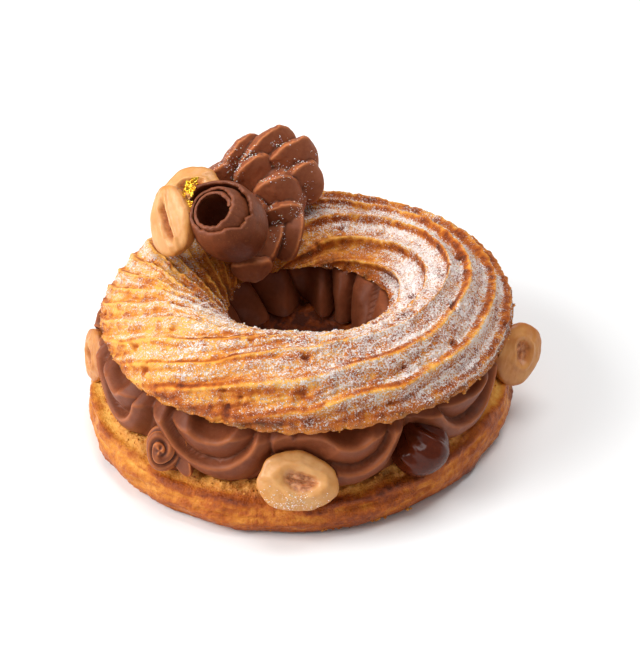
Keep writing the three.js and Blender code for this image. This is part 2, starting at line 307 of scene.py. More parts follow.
def smooth_outline(corners, count):
    """Resamples closed outlines, (..., corners, 2), evenly by length at count
    points on each, with the corners rounded by a curve through the middles of
    the edges (Chaikin's cutting, done three times)."""
    for _ in range(3):
        after = np.roll(corners, -1, axis=-2)
        cut = np.stack([0.75 * corners + 0.25 * after, 0.25 * corners + 0.75 * after], axis=-2)
        corners = cut.reshape(*corners.shape[:-2], -1, 2)
    closed = np.concatenate([corners, corners[..., :1, :]], axis=-2)
    length = np.linalg.norm(np.diff(closed, axis=-2), axis=-1)
    travel = np.concatenate([np.zeros((*length.shape[:-1], 1)), length.cumsum(-1)], axis=-1)
    wanted = np.arange(count) / count
    rows = [
        [np.interp(wanted * t[-1], t, c[:, i]) for i in range(2)]
        for t, c in zip(travel, closed)
    ]
    return np.array(rows).transpose(0, 2, 1)


SQUARE = np.array([[[0, 0], [1, 0], [1, 1], [0, 1]]], float)
print("a rounded square at four points:", smooth_outline(SQUARE, 4).round(2).tolist())

# %% [markdown]
# Finishes come next, because each piece needs one as it is made. A finish is a
# small network of nodes. `wire` adds one node with its settings and links, and
# `colour` turns a hex value, as a colour picker shows it, into the linear
# numbers that light is worked out with. Every finish starts from a few noise
# patterns, each as large as a real thing: a blotch of browning, a bubble, a
# grain of sugar. They lie on the object's own coordinates, so they stay put.

# %% Tools for finishes
def colour(hexcode):
    """sRGB hex to linear red, green, blue and a full alpha."""
    values = [int(hexcode[i : i + 2], 16) / 255 for i in (1, 3, 5)]
    linear = [v / 12.92 if v <= 0.04045 else ((v + 0.055) / 1.055) ** 2.4 for v in values]
    return (*linear, 1.0)


def connect(tree, node, inputs):
    """Fills a node's inputs, given by name or place, or in their order. Another
    node's output is linked, and anything else is the input's value."""
    for key, value in inputs.items() if isinstance(inputs, dict) else enumerate(inputs):
        if isinstance(value, bpy.types.NodeSocket):
            tree.links.new(value, node.inputs[key])
        else:
            node.inputs[key].default_value = value


def wire(tree, kind, inputs=(), output=0, stops=(), **settings):
    """Adds a node with its settings and inputs, and returns one of its outputs.
    stops are the places and hex colours of a colour ramp."""
    node = tree.nodes.new("ShaderNode" + kind)
    for key, value in settings.items():
        setattr(node, key, value)
    for _ in stops[2:]:
        node.color_ramp.elements.new(0.5)
    for number, (place, shade) in enumerate(stops):
        element = node.color_ramp.elements[number]
        element.position, element.color = place, colour(shade)
    connect(tree, node, inputs)
    return node.outputs[output]


def start_finish(name, patterns):
    """A new material, its tree, its shader, and one noise for each pattern,
    which is the size of its cells in mm, its detail and its roughness."""
    material = bpy.data.materials.new(name)
    material.use_nodes = True
    tree, noises = material.node_tree, []
    for size, detail, roughness in patterns:
        look = {"Scale": 1 / (size * MM), "Detail": detail, "Roughness": roughness}
        look["Vector"] = wire(tree, "TexCoord", output="Object")
        noises.append(wire(tree, "TexNoise", look))
    print(f"finish {name}: {len(noises)} patterns")
    return material, tree, tree.nodes["Principled BSDF"], noises


print("mid grey, linear:", round(colour("#808080")[0], 3))

# %% [markdown]
# ## Choux crust
# Choux is flour paste cooked with butter, then enriched with egg. The oven sets
# its outside to a thin crust, golden where it is thick, browner on every ridge
# that stands nearer the heat, with small cracks where it grew after setting.
# That gives blotches a few millimetres wide, flecks under one, and a dull gloss
# from the egg. The mesh carries three numbers on each point: how browned it is,
# with painted light and shade laid into the same number, how much sugar lies
# there, and how much torn crumb shows.

# %% Finish of the crust
CRUST_TONES = ((0.0, "#f5b452"), (0.3, "#da8729"), (0.55, "#b75a0c"), (0.8, "#8a3a05"), (1.0, "#5c2303"))
CRUMB_TONES = ((0.3, "#d98530"), (0.7, "#fdbb62"))
# blotches, flecks, torn cells, grit and pores, then drifts and single specks of sugar
CRUST_PATTERNS = [(4.0, 4.0, 0.55), (0.8, 4.0, 0.65), (0.7, 3.0, 0.5), (0.35, 3.0, 0.5), (1.6, 5.0, 0.7)]
SUGAR_PATTERNS = [(2.2, 4.0, 0.6), (0.36, 3.0, 0.8)]


def choux_crust(name, sugared):
    """Baked crust: the browning, which also holds painted light and shade, and two
    noises pick a tone, crumb is laid over it, and on the lid a thin haze of sugar
    and then white heaps of it."""
    patterns = CRUST_PATTERNS + SUGAR_PATTERNS * sugared
    material, tree, shader, noises = start_finish(name, patterns)
    blotch, fleck, torn, grit, pores = noises[:5]
    spread = 0.14 if sugared else 0.07
    tone = wire(tree, "Attribute", output="Fac", attribute_name="browning_and_painted_light")
    for noise in (blotch, fleck):
        shift = wire(tree, "MapRange", (noise, 0.3, 0.7, -spread, spread))
        tone = wire(tree, "Math", (tone, shift), operation="ADD")
    crust = wire(tree, "ValToRGB", (tone,), stops=CRUST_TONES)
    crumb = wire(tree, "ValToRGB", (torn,), stops=CRUMB_TONES)
    share = wire(tree, "Attribute", output="Fac", attribute_name="crumb")
    crust = wire(tree, "Mix", {0: share, 6: crust, 7: crumb}, 2, data_type="RGBA")
    height = wire(tree, "Math", (grit, pores), operation="ADD")
    height = wire(tree, "Math", (fleck, height), operation="ADD")
    roughness = wire(tree, "MapRange", (blotch, 0.3, 0.7, 0.3, 0.5))
    if sugared:
        lying = wire(tree, "Attribute", output="Fac", attribute_name="sugar")
        for noise, low, high, weight in zip(noises[5:], (0.25, 0.32), (0.75, 0.68), (0.3, 1.0)):
            shift = wire(tree, "MapRange", (noise, low, high, -weight, weight))
            lying = wire(tree, "Math", (lying, shift), operation="ADD")
        haze = wire(tree, "MapRange", (lying, 0.0, 1.0, 0.0, 0.1))
        heap = wire(tree, "MapRange", (lying, 0.6, 0.95, 0.0, 0.92))
        for share, shade in ((haze, "#ffcf9a"), (heap, "#fdf2ee")):
            crust = wire(tree, "Mix", {0: share, 6: crust, 7: colour(shade)}, 2, data_type="RGBA")
        raised = wire(tree, "Math", (heap, 0.6), operation="MULTIPLY")
        height = wire(tree, "Math", (height, raised), operation="ADD")
        roughness = wire(tree, "MapRange", (heap, 0.0, 1.0, 0.5, 0.85))
    relief = wire(tree, "Bump", {"Height": height, "Distance": 0.34 * MM, "Strength": 0.8})
    connect(tree, shader, {
        "Base Color": crust, "Roughness": roughness, "Normal": relief,
        "Specular IOR Level": 0.3 if sugared else 0.38, "IOR": 1.45,
    })
    return material


BAKED_BASE = choux_crust("choux_crust_base", False)
BAKED_LID = choux_crust("choux_crust_sugared", True)

# %% [markdown]
# ## Base
# The base is the lower half of the ring: a flat underside where it stood on
# the tray, a rounded browned side with long shallow wrinkles, and the cut,
# where the torn crumb shows between the crust and the cream.

# %% Base ring
BASE_OUTER, BASE_INNER = 44.0, 13.6
BASE_CUT, BASE_CUT_SLOPE, BASE_RIM_DROP = 11.5, 0.06, 2.2


def base_cut(radius, phi):
    """Height of the base's cut face: it rises evenly towards the back."""
    return BASE_CUT + BASE_CUT_SLOPE * radius * np.sin(phi)


def base_outline(phi):
    """The base's section at each angle: flat underside, round side, cut, hole."""
    outer = BASE_OUTER * (1 + 0.011 * np.sin(2 * phi) - 0.003 * np.cos(2 * phi))
    outer = outer + 0.35 * uneven(phi, 1.0)
    inner = BASE_INNER + 0.4 * uneven(phi, 2.0)
    rim = base_cut(outer, phi) - BASE_RIM_DROP + 0.3 * uneven(phi, 3.0)
    flat = np.zeros_like(phi)
    corners = [
        (inner + 2.5, flat), (outer - 3.6, flat), (outer - 2.4, flat), (outer - 0.9, flat + 1.1),
        (outer + 0.1, flat + 3.6), (outer + 0.1, rim * 0.72), (outer - 0.7, rim + 0.2),
        (outer - 3.4, base_cut(outer, phi) - 0.3), (outer - 6, base_cut(outer - 6, phi)),
        (outer - 12, base_cut(outer - 12, phi)), (inner + 3.2, base_cut(inner + 3.2, phi)),
        (inner + 0.2, base_cut(inner, phi) - 0.8), (inner - 0.2, flat + 5), (inner + 0.5, flat + 0.8),
    ]
    return np.stack([np.stack(pair, axis=-1) for pair in corners], axis=-2)


def base_surface(rows=560, columns=170):
    """The outline swept round the axis, raised along its normal by wrinkles that
    run along the ring (noise stretched five to one), by a lip under the cut,
    and by pits where the crumb is torn."""
    phi = np.arange(rows) / rows * TURN
    outline = smooth_outline(base_outline(phi), columns)
    radius, height = outline[..., 0], outline[..., 1]
    around = np.repeat(phi[:, None], columns, axis=1)
    grid = polar(around, radius, height)
    normal = normals_of(grid)
    cut = step(height, base_cut(radius, around) - 1.1, base_cut(radius, around) - 0.3)
    cut *= step(radius, 15.0, 17.0)
    outside = step(radius, 38, 41) * (1 - cut)
    floor = step(height, 0.2, 1.2)
    stretched = points_at(around * BASE_OUTER / 5, radius, height)
    wrinkles = rough(stretched, 1.5, 11, 4)
    lumps = rough(grid, 7.0, 12, 2)
    pits = np.clip(rough(grid, 1.9, 13, 3), -1, 0.4)
    rim = np.exp(-(((base_cut(radius, around) - 1.9 - height) / 0.5) ** 2)) * step(radius, 38, 41)
    split = step(rough(stretched, 1.5, 17, 1), 0.55, 0.75) * outside * step(height, 2, 4)
    relief = floor * (outside * (0.46 * wrinkles + 0.35 * lumps) + 0.5 * rim - 0.35 * split)
    relief += cut * (0.8 * pits + 0.25 + 0.45 * rough(grid, 0.9, 16, 2))
    relief += floor * 0.12 * rough(grid, 1.0, 14, 2)
    grid = grid + normal * relief[..., None]
    # Painted light and shade in the browning: the front is painted darker and the left lighter, as the
    # light falls on them. The side is also lighter just under the rim, darker at its foot and darker
    # towards the hole.
    front, left = np.clip(-np.sin(around), 0, 1), np.clip(-np.cos(around), 0, 1)
    browning_and_painted_light = 0.44 + 0.14 * front + 0.24 * wrinkles - 0.18 * left
    browning_and_painted_light -= 0.3 * outside * step(height, 7.5, 10.5)
    browning_and_painted_light += 0.16 * (1 - step(height, 0.3, 3.5)) + 0.14 * rough(grid, 0.8, 15, 2)
    browning_and_painted_light += 0.14 * split + 0.2 * rim + 0.5 * (1 - step(radius, 17, 24))
    crumb = cut * np.clip(0.9 + 0.5 * pits, 0, 1) * step(radius, 22, 30)
    return grid, {"browning_and_painted_light": browning_and_painted_light, "crumb": crumb}


points, numbers = base_surface()
BASE_GRID, BASE_CRUMB = points, numbers["crumb"]
make_piece(
    "choux_base", points, ring_faces(*points.shape[:2]), BAKED_BASE,
    "base_ring", numbers,
)

# %% [markdown]
# ## Lid
# The lid was piped with a star nozzle, so flutes run over it. The hand pulled
# each one from the outer edge into the hole: on the left they cross the crust
# steeply, on the right they lie almost along the ring. Each flute is a gentle
# outer face, where sugar settles, and a steep, bare, golden one towards the
# hole. Adding up how far the flutes have wound at each angle gives them all
# from one formula.

# %% Flutes and dome of the lid
LID_OUTER, LID_INNER = 42.4, 15.7
LID_CENTRE = np.array([1.8, 0.2, 0.0])
LID_UNDER, LID_RISE, LID_TILT = 23.8, 11.1, 0.045
LID_ROUNDNESS, LID_HANG = 1.65, 1.5
FLUTES_ACROSS, FLUTES_STARTED, FLUTE_DEPTH = 7, 14, 1.3
FLUTE_RISES, FLUTE_FALLS = 0.72, 0.28
LID_DIPS = ((45, 0.2), (168, 0.16))  # where the dome is lower, in degrees, and by what share
PULL_AT, PULL_WIDTH = math.radians(170), 1.6
FRONT_PIT = np.array([-1.0, -39.0, 28.7])


def winding(phi):
    """Flutes passed at an angle: one for each turn of the ring at least, and the
    rest crowded round PULL_AT in a bell shape, added up in small steps."""
    fine = np.linspace(0, TURN, 2000)
    bell = np.exp(PULL_WIDTH * np.cos(fine - PULL_AT))
    total = np.concatenate([[0], np.cumsum((bell[1:] + bell[:-1]) / 2)])
    crowded = (FLUTES_STARTED - 1) * total / total[-1]
    return phi / TURN + np.interp(phi, fine, crowded)


def flute(part):
    """Height at a part of one flute's width: a slow rise, then a quick fall."""
    slow, quick = np.minimum(part / FLUTE_RISES, 1), np.clip((1 - part) / FLUTE_FALLS, 0, 1)
    return np.where(part < FLUTE_RISES, slow**2.1, quick**1.3)


def lid_outline(phi, share):
    """The dome from the outer edge, share 0, to the hole, share 1: a
    superellipse between the two radii."""
    outer = LID_OUTER + 0.4 * uneven(phi, 5.0) - 0.9 * np.clip(np.cos(phi - math.pi), 0, 1) ** 4
    inner = LID_INNER + 0.5 * uneven(phi, 6.0)
    inner = inner + 0.7 * np.clip(np.cos(phi - math.radians(235)), 0, 1)
    inner = inner + 1.3 * np.clip(np.cos(phi - math.radians(355)), 0, 1)
    middle, half = (outer + inner) / 2, (outer - inner) / 2
    dip = sum(deep * np.clip(np.cos(phi - math.radians(at)), 0, 1) ** 3 for at, deep in LID_DIPS)
    rise = LID_RISE * (1 + 0.04 * uneven(phi, 7.0) - dip)
    c, d = np.cos(math.pi * share), np.sin(math.pi * share)
    power = 2 / np.where(c < 0, LID_ROUNDNESS - 0.2, LID_ROUNDNESS)
    hang = LID_HANG * np.clip(-np.sin(phi), 0, 1) * np.clip(c, 0, 1)
    radius = middle + np.sign(c) * half * np.abs(c) ** power
    height = LID_UNDER + rise * np.abs(d) ** power - hang * (1 - np.abs(d)) ** 4
    return radius, height


print("flutes wound at each quarter:", winding(np.arange(5) * TURN / 4).round(1))

# %% [markdown]
# The dome is one closed section swept round, with its flat underside. On it lie
# the flutes, fine threads that the nozzle's teeth drew along them, crackle and
# pimples from the oven, and a few pits where steam blew out. The far wall of
# the hole was torn bare when the ring was cut, and its edge hangs in tatters.
# The same measures also say where the crust browned, where light and shade are
# painted onto it, and where sugar lies.

# %% Lid ring
def lid_surface(rows=620, top=128, under=30):
    """The dome and its flat underside in one closed section, with the flutes,
    then cracks and pimples of the crust, raised along the normal."""
    phi = np.arange(rows)[:, None] / rows * TURN
    share = np.concatenate([np.linspace(0, 1, top), np.ones(under)])[None, :]
    radius, height = lid_outline(phi, share)
    back = np.linspace(0, 1, under + 2)[1:-1]
    radius[:, top:] = radius[:, top - 1 : top] * (1 - back) + radius[:, :1] * back
    height[:, top:] = height[:, top - 1 : top] * (1 - back) + height[:, :1] * back
    height[:, top:] += 0.5 * np.sin(math.pi * back)
    around = np.repeat(phi, top + under, axis=1)
    share = np.repeat(share, rows, axis=0)
    grid = polar(around, radius, height)
    normal = -normals_of(grid)
    normal *= np.sign(normal[:, top // 2, 2].mean())
    on_top = np.zeros_like(share)
    on_top[:, :top] = 1
    edge = np.clip(np.minimum(share, 1 - share) * 8, 0, 1) * on_top
    right = np.clip(np.cos(around - math.radians(350)), 0, 1)
    left = np.clip(-np.cos(around), 0, 1)
    wander = (0.15 - 0.08 * right) * rough(grid, 9.0, 21, 2)
    phase = FLUTES_ACROSS * share - winding(around) + wander
    part = phase - np.floor(phase)
    ridge = flute(part)
    depth = FLUTE_DEPTH * (1.0 + 0.42 * np.cos(around - math.radians(10)))
    depth = depth * (1 + 0.25 * rough(grid, 12.0, 22, 1))
    across = points_at(np.cos(TURN * part), np.sin(TURN * part), 0)
    threads = (1 - 0.5 * right) * rough(grid * (1 / 9, 1 / 9, 0) + 0.95 * across, 1.0, 27, 2)
    crackle = rough(grid, 2.2, 23, 4)
    pimples = rough(grid, 1.1, 24, 2)
    blown = 0.5 * step(rough(grid, 2.6, 95, 1), 0.74, 0.86)
    blown = np.maximum(blown, np.exp(-((np.linalg.norm(grid - FRONT_PIT, axis=-1) / 1.2) ** 2)))
    relief = edge * depth * (ridge - 0.7) - 1.3 * blown * edge
    relief = relief + on_top * (0.12 * crackle + 0.22 * pimples + 0.22 * threads)
    torn = 1 - np.clip(np.minimum(share, 1 - share) * 22, 0, 1) * on_top
    relief = relief + torn * 0.3 * rough(grid, 1.3, 25, 2)
    grid = grid + normal * relief[..., None]
    grid[..., 2] += torn * (0.35 * rough(grid, 3.5, 26, 2) + 0.14 * rough(grid, 1.6, 30, 2))
    far = step(np.sin(around - math.radians(15)), 0.0, 0.5)
    tatters = step(radius, 19.0, 17.5) * step(share, 0.85, 1.0) * far
    grid[..., 2] -= 1.5 * tatters * np.clip(rough(polar(around, 15.0, 0), 1.7, 29, 2), 0, 1)
    steep = step(part, 0.66, 0.74) * (1 - step(part, 0.88, 0.96)) * edge
    crest = np.exp(-(((part - FLUTE_RISES) / 0.06) ** 2)) * edge
    upward = np.clip(normal[..., 2], 0, 1)
    bare = step(share, 0.66, 0.8) * far
    # Painted light and shade in the browning: each flute's crest is painted lighter as a highlight, its
    # steep face towards the hole darker as shade, and the left side lighter where the light falls. The
    # inner wall of the hole on the left is also darker, and so is the dome towards its lower edge.
    browning_and_painted_light = 0.4 + 0.26 * steep - 0.5 * crest + 0.16 * crackle * (1 - 0.8 * crest)
    browning_and_painted_light = browning_and_painted_light - 0.26 * threads + 0.14 * pimples + 0.6 * blown - 0.05 * bare
    browning_and_painted_light = browning_and_painted_light - 0.28 * left + 0.3 * (1 - step(height, 23, 29))
    browning_and_painted_light = browning_and_painted_light + 0.3 * step(share, 0.6, 0.78) * step(left, 0.3, 0.7)
    sugar = 0.3 + 0.28 * step(upward, 0.1, 0.9) + 0.34 * right + 0.16 * step(share, 0.5, 0.8)
    sugar = sugar + 0.16 * rough(grid, 6.0, 28, 2) - 0.8 * steep * (0.45 + 0.6 * right)
    sugar = sugar + 0.42 * threads - 0.6 * bare - 0.14 * left - 0.8 * blown
    sugar = sugar - 0.15 * (1 - step(share, 0.08, 0.3)) * (1 - right)
    sugar = sugar * on_top * step(share, 0.0, 0.06) * (1 - step(share, 0.9, 0.98))
    crumb = np.maximum(0.5 * torn, 0.2 * bare) * np.clip(0.5 + 0.4 * pimples, 0, 1)
    tilt = -LID_TILT * grid[..., 1]
    grid = grid + LID_CENTRE
    grid[..., 2] += tilt
    return grid, {"browning_and_painted_light": browning_and_painted_light, "sugar": sugar, "crumb": crumb}


points, numbers = lid_surface()
LID_GRID, LID_SUGAR, LID_CRUMB = points, numbers["sugar"], numbers["crumb"]
make_piece(
    "choux_lid", points, ring_faces(*points.shape[:2]), BAKED_LID,
    "lid_ring", numbers,
)

# %% [markdown]
# ## Praline cream
# Praline paste is whipped into butter and custard, and a little chocolate makes
# it brown. It is fat and air, so light goes a short way in and comes out warm:
# thin lips glow orange. That is subsurface scattering, over a millimetre or so.
# The finish also paints a lighter orange highlight on lips that bend out and a
# dark shade in creases that bend in. The nozzle leaves it satin smooth, with
# pinholes where bubbles broke.

# %% Finish of the cream
CREAM_PATTERNS = [(6.0, 3.0, 0.5), (0.8, 4.0, 0.6), (0.5, 2.0, 0.5), (2.2, 3.0, 0.5)]
CREASE_SHADE = "#3c1808"


def whipped_cream(name, dark, light, lip_highlight, roughness, scatter):
    """Two noises pick a tone; lips that bend out are painted the lighter highlight
    colour, and creases that bend in are painted dark as shade."""
    material, tree, shader, noises = start_finish(name, CREAM_PATTERNS)
    cloud, fine, bubbles, waves = noises
    tones = [
        wire(tree, "MapRange", (noise, 0.3, 0.7, 0.0, most)) for noise, most in ((cloud, 0.6), (fine, 0.4))
    ]
    tone = wire(tree, "Math", tones, operation="ADD")
    shade = wire(tree, "ValToRGB", (tone,), stops=((0.0, dark), (1.0, light)))
    bend = wire(tree, "Attribute", output="Fac", attribute_name="lip")
    # Painted highlight on lips that bend out, painted shade in creases that bend in.
    for spread, tint in (((0.2, 1.3, 0.0, 0.7), lip_highlight), ((-0.9, -0.15, 0.7, 0.0), CREASE_SHADE)):
        share = wire(tree, "MapRange", (bend, *spread))
        shade = wire(tree, "Mix", {0: share, 6: shade, 7: colour(tint)}, 2, data_type="RGBA")
    height = wire(tree, "Math", (fine, waves), operation="ADD")
    pinholes = wire(tree, "MapRange", (bubbles, 0.22, 0.34, 0.0, 1.0))
    height = wire(tree, "Math", (height, pinholes), operation="ADD")
    connect(tree, shader, {
        "Base Color": shade,
        "Roughness": wire(tree, "MapRange", (fine, 0.3, 0.7, roughness - 0.06, roughness + 0.06)),
        "Normal": wire(tree, "Bump", {"Height": height, "Distance": 0.12 * MM, "Strength": 0.4}),
        "Subsurface Weight": scatter, "Subsurface Radius": (1.0, 0.42, 0.22),
        "Subsurface Scale": 1.2 * MM, "IOR": 1.46, "Specular IOR Level": 0.24,
    })
    return material


# The ring's cream is painted darker overall, as shade under the lid, and the bud shares it. The rosette's
# copy is lighter, partly for its sugar dust and partly as painted light on its top.
PRALINE_CREAM = whipped_cream("praline_cream", "#6c351c", "#8a4b2e", "#cc763c", 0.45, 0.2)
DUSTED_LIT_CREAM = whipped_cream("praline_cream_dusted_and_lit", "#7a3e24", "#9d5b3a", "#d98750", 0.45, 0.3)
PRALINE_GLAZE = whipped_cream("wet_praline", "#3c1206", "#5c230e", "#7a3d22", 0.14, 0.05)

# %% [markdown]
# Three halves of hazelnut are pressed into the cream and two lie on top. Their
# sizes and places come before the cream, because it gives way to them: a dent
# behind each kernel's face, with a steep wall round its outline.

# %% Where the hazelnuts lie
NUTS = {
    # half length, half width and half depth, then its middle, the way it runs, the
    # way its face looks, a seed, and the slot's size and shift as shares of the face
    "front": (
        (7.4, 5.9, 4.6), (-0.9, -43.6, 13.8), (0.98, -0.1, -0.15), (0.05, -0.8, 0.6),
        1.0, (0.5, 0.4, 0.08, 0.12),
    ),
    "right": (
        (6.4, 5.8, 4.4), (44.8, -5.4, 14.2), (0.3, 0.5, 0.82), (0.5, -0.8, 0.34),
        2.2, (0.4, 0.34, 0.1, 0.0),
    ),
    "left": (
        (5.6, 5.0, 4.4), (-41.9, -2.8, 15.2), (0.05, 0.3, 0.95), (-0.9, -0.4, 0.2),
        3.1, (0.4, 0.3, 0.0, 0.0),
    ),
    "top": (
        (7.4, 5.6, 5.0), (-25.2, 7.4, 40.5), (-0.24, 0.55, 0.8), (-0.68, -0.6, 0.42),
        4.0, (0.66, 0.22, 0.0, -0.1),
    ),
    "back": (
        (7.2, 5.8, 6.2), (-21.4, 18.8, 40.0), (0.93, 0.3, 0.2), (-0.1, -0.6, 0.8),
        5.3, (0.4, 0.26, 0.1, 0.1),
    ),
}


def nut_axes(long, face):
    """The kernel's axes: along it, across it, and out of its face."""
    face = np.array(face) / np.linalg.norm(face)
    along = np.array(long) - np.dot(long, face) * face
    along = along / np.linalg.norm(along)
    return np.array([along, np.cross(face, along), face])


def dented(grid, nut, behind=1.3, slope=9.0):
    """Presses a surface in behind a kernel's face: inside its outline no point
    comes further out than a little behind the face, and the dent's wall rises
    steeply outside the outline."""
    half, place, long, face = nut[:4]
    local = (grid - np.array(place)) @ nut_axes(long, face).T
    outline = np.hypot(local[..., 0] / half[0], local[..., 1] / half[1])
    limit = -behind + slope * np.clip(outline - 1.0, 0, None)
    pressed = np.clip(local[..., 2] - limit, 0, None) * (np.abs(local[..., 2]) < 9)
    return grid - pressed[..., None] * nut_axes(long, face)[2]


print("kernels:", {name: f"{2 * row[0][0]:.1f} mm long" for name, row in NUTS.items()})

# %% [markdown]
# The cream was piped in loops side by side, each swept in from the left and
# turned up sharply on the right. Seen from outside, the nozzle's teeth leave
# bands nested in a U. For one loop, how far out a band lies is a measure like
# a radius: across along the ring, and down from the lid, each divided by the
# loop's size. The loops lie against each other and the one that stands out
# most is seen, so the ring is the smooth maximum of them all.

# %% Loops of the cream
LOOPS = [
    # angle of the middle in degrees, how far it stands out in mm, and how much
    # further its right end does than its left one
    (-3, 0.0, 0.5), (33, 0.2, -0.4), (68, 0.0, 0.5), (103, 0.2, -0.4), (138, 0.0, 0.5),
    (172, 0.2, -0.4), (205, 0.3, 0.2), (243, 0.2, -0.7), (279, 0.2, 0.3), (320, 0.1, -0.3),
]
CREAM_OUTER, CREAM_INNER, CREAM_CENTRE_X = 40.2, 15.0, 0.8
ARC = 41.0  # mm along the cream's face for each radian
HOLE_FOLDS = 14
LOOP_LEFT, LOOP_RIGHT, LOOP_SHIFT = 16.0, 11.5, 3.0
LOOP_TOP, LOOP_DROP, LOOP_BAND = 26.0, 16.0, 0.36
TOUCH = 0.3


def lid_cut(radius, phi):
    """Height of the lid's cut face: the lid leans back a little."""
    return LID_UNDER - LID_TILT * radius * np.sin(phi)


def loop_face(along, height, sway):
    """Radius of one loop's face: bands nested in a U round a sunk bowl. Each
    band starts with a lip that stands out, and slopes back to the next one."""
    aside = along - LOOP_SHIFT
    length = np.where(aside < 0, LOOP_LEFT, LOOP_RIGHT)
    out = np.hypot(aside / length, (LOOP_TOP - height) / LOOP_DROP) + sway
    part = out / LOOP_BAND - np.floor(out / LOOP_BAND)
    lip = np.sqrt(np.clip(part / 0.16, 0, 1) * (2 - np.clip(part / 0.16, 0, 1)))
    slope = 1 - 0.8 * np.clip((part - 0.16) / 0.84, 0, 1) ** 1.4
    bulge = 3.1 * lip * slope * step(out, 0.8 * LOOP_BAND, LOOP_BAND) * (1 - step(out, 0.9, 1.15))
    bowl = 3.6 * np.sqrt(np.clip(1 - out / LOOP_BAND, 0, 1))
    return CREAM_OUTER - 0.7 + bulge - bowl - 6 * np.clip(out - 1, 0, None)


def cream_face(phi, height):
    """The smooth maximum of all the loops."""
    sway = 0.05 * rough(points_at(phi * ARC, height, 0), 9.0, 31, 1)
    sharp = 6.0
    faces = []
    for centre, proud, lean in LOOPS:
        turn = phi - math.radians(centre)
        along = ARC * np.arctan2(np.sin(turn), np.cos(turn))
        lean_now = lean * np.clip(along, -12, 12) / 12
        faces.append(loop_face(along, height, sway) + proud + lean_now)
    faces = np.array(faces)
    top = faces.max(axis=0)
    blended = top + np.log(np.exp(sharp * (faces - top)).sum(axis=0)) / sharp
    return blended + CREAM_CENTRE_X * np.cos(phi)


print("the front face at mid height, mm:", cream_face(np.array([-math.pi / 2]), np.array([18.0])).round(1))

# %% [markdown]
# Inside the hole the same loops end in upright folds, like ropes side by side,
# and one gap between them is dark. The whole ring is then one closed section:
# up the outer face, over the hidden top, down the folds and back underneath.

# %% Cream ring
def cream_folds(phi, height):
    """The hole's side: round folds like ropes, a circle's arc each, that lean a
    little, are deeper in some places, and leave one gap."""
    phase = HOLE_FOLDS * phi / 2 - 0.04 * math.pi * height + 0.9 * uneven(phi, 9.0)
    across = 2 * (phase / math.pi - np.floor(phase / math.pi)) - 1
    rope = 1 - np.sqrt(1 - 0.98 * across**2) + 0.35 * across
    deeper = 1 + 0.4 * uneven(phi, 4.0)
    gap = 4.0 * np.exp(-(((phi - math.radians(84)) / 0.16) ** 2))
    waves = 0.5 * rough(polar(phi, 15.0, height), 5.0, 34, 2)
    return CREAM_INNER + gap + 3.4 * deeper * rope + waves


def cream_surface(rows=900, outside=56, top=12, inside=30, under=10):
    """Outer face, hidden top, folds in the hole and hidden bottom."""
    phi = np.arange(rows)[:, None] / rows * TURN

    def heights(radius, count):
        low, high = base_cut(radius, phi) + TOUCH, lid_cut(radius, phi) - 2 * TOUCH
        share = np.linspace(0, 1, count)[None, :]
        return low + (high - low) * share, share

    outer_z, share = heights(CREAM_OUTER, outside)
    tucked = 5.2 * np.clip(4 * share - 3, 0, 1)
    outer_r = cream_face(np.repeat(phi, outside, axis=1), outer_z) - tucked
    inner_z, _ = heights(CREAM_INNER, inside)
    rising = np.linspace(0, 1, inside)
    inner_r = cream_folds(phi, inner_z) - 1.6 * (1 - rising) ** 1.5 + 2.6 * rising**4
    inner_r, inner_z = inner_r[:, ::-1], inner_z[:, ::-1]

    def bridge(start, end, count):
        share = np.linspace(0, 1, count + 2)[1:-1][None, :]
        return start * (1 - share) + end * share

    radius = [outer_r, bridge(outer_r[:, -1:], inner_r[:, :1], top)]
    radius += [inner_r, bridge(inner_r[:, -1:], outer_r[:, :1], under)]
    height = [outer_z, bridge(outer_z[:, -1:], inner_z[:, :1], top)]
    height += [inner_z, bridge(inner_z[:, -1:], outer_z[:, :1], under)]
    radius, height = np.concatenate(radius, axis=1), np.concatenate(height, axis=1)
    grid = polar(np.repeat(phi, radius.shape[1], axis=1), radius, height)
    wobble = 0.12 * rough(grid, 3.0, 33, 2)
    grid[..., :2] *= (1 + wobble / radius)[..., None]
    for name in ("front", "right", "left"):
        grid = dented(grid, NUTS[name])
    return grid


points = cream_surface()
make_piece(
    "praline_cream_ring", points, ring_faces(*points.shape[:2]), PRALINE_CREAM,
    "cream_ring", lips=True,
)

# %% [markdown]
# ## Rosette
# The rosette was piped with a star nozzle in short overlapping strokes. Each
# stroke is a petal: a sharp crest on its upper side and a broad face that
# slopes down to the next petal's crest. A petal can be made from a ball by
# pinching its section to a rounded diamond and leaning it over.

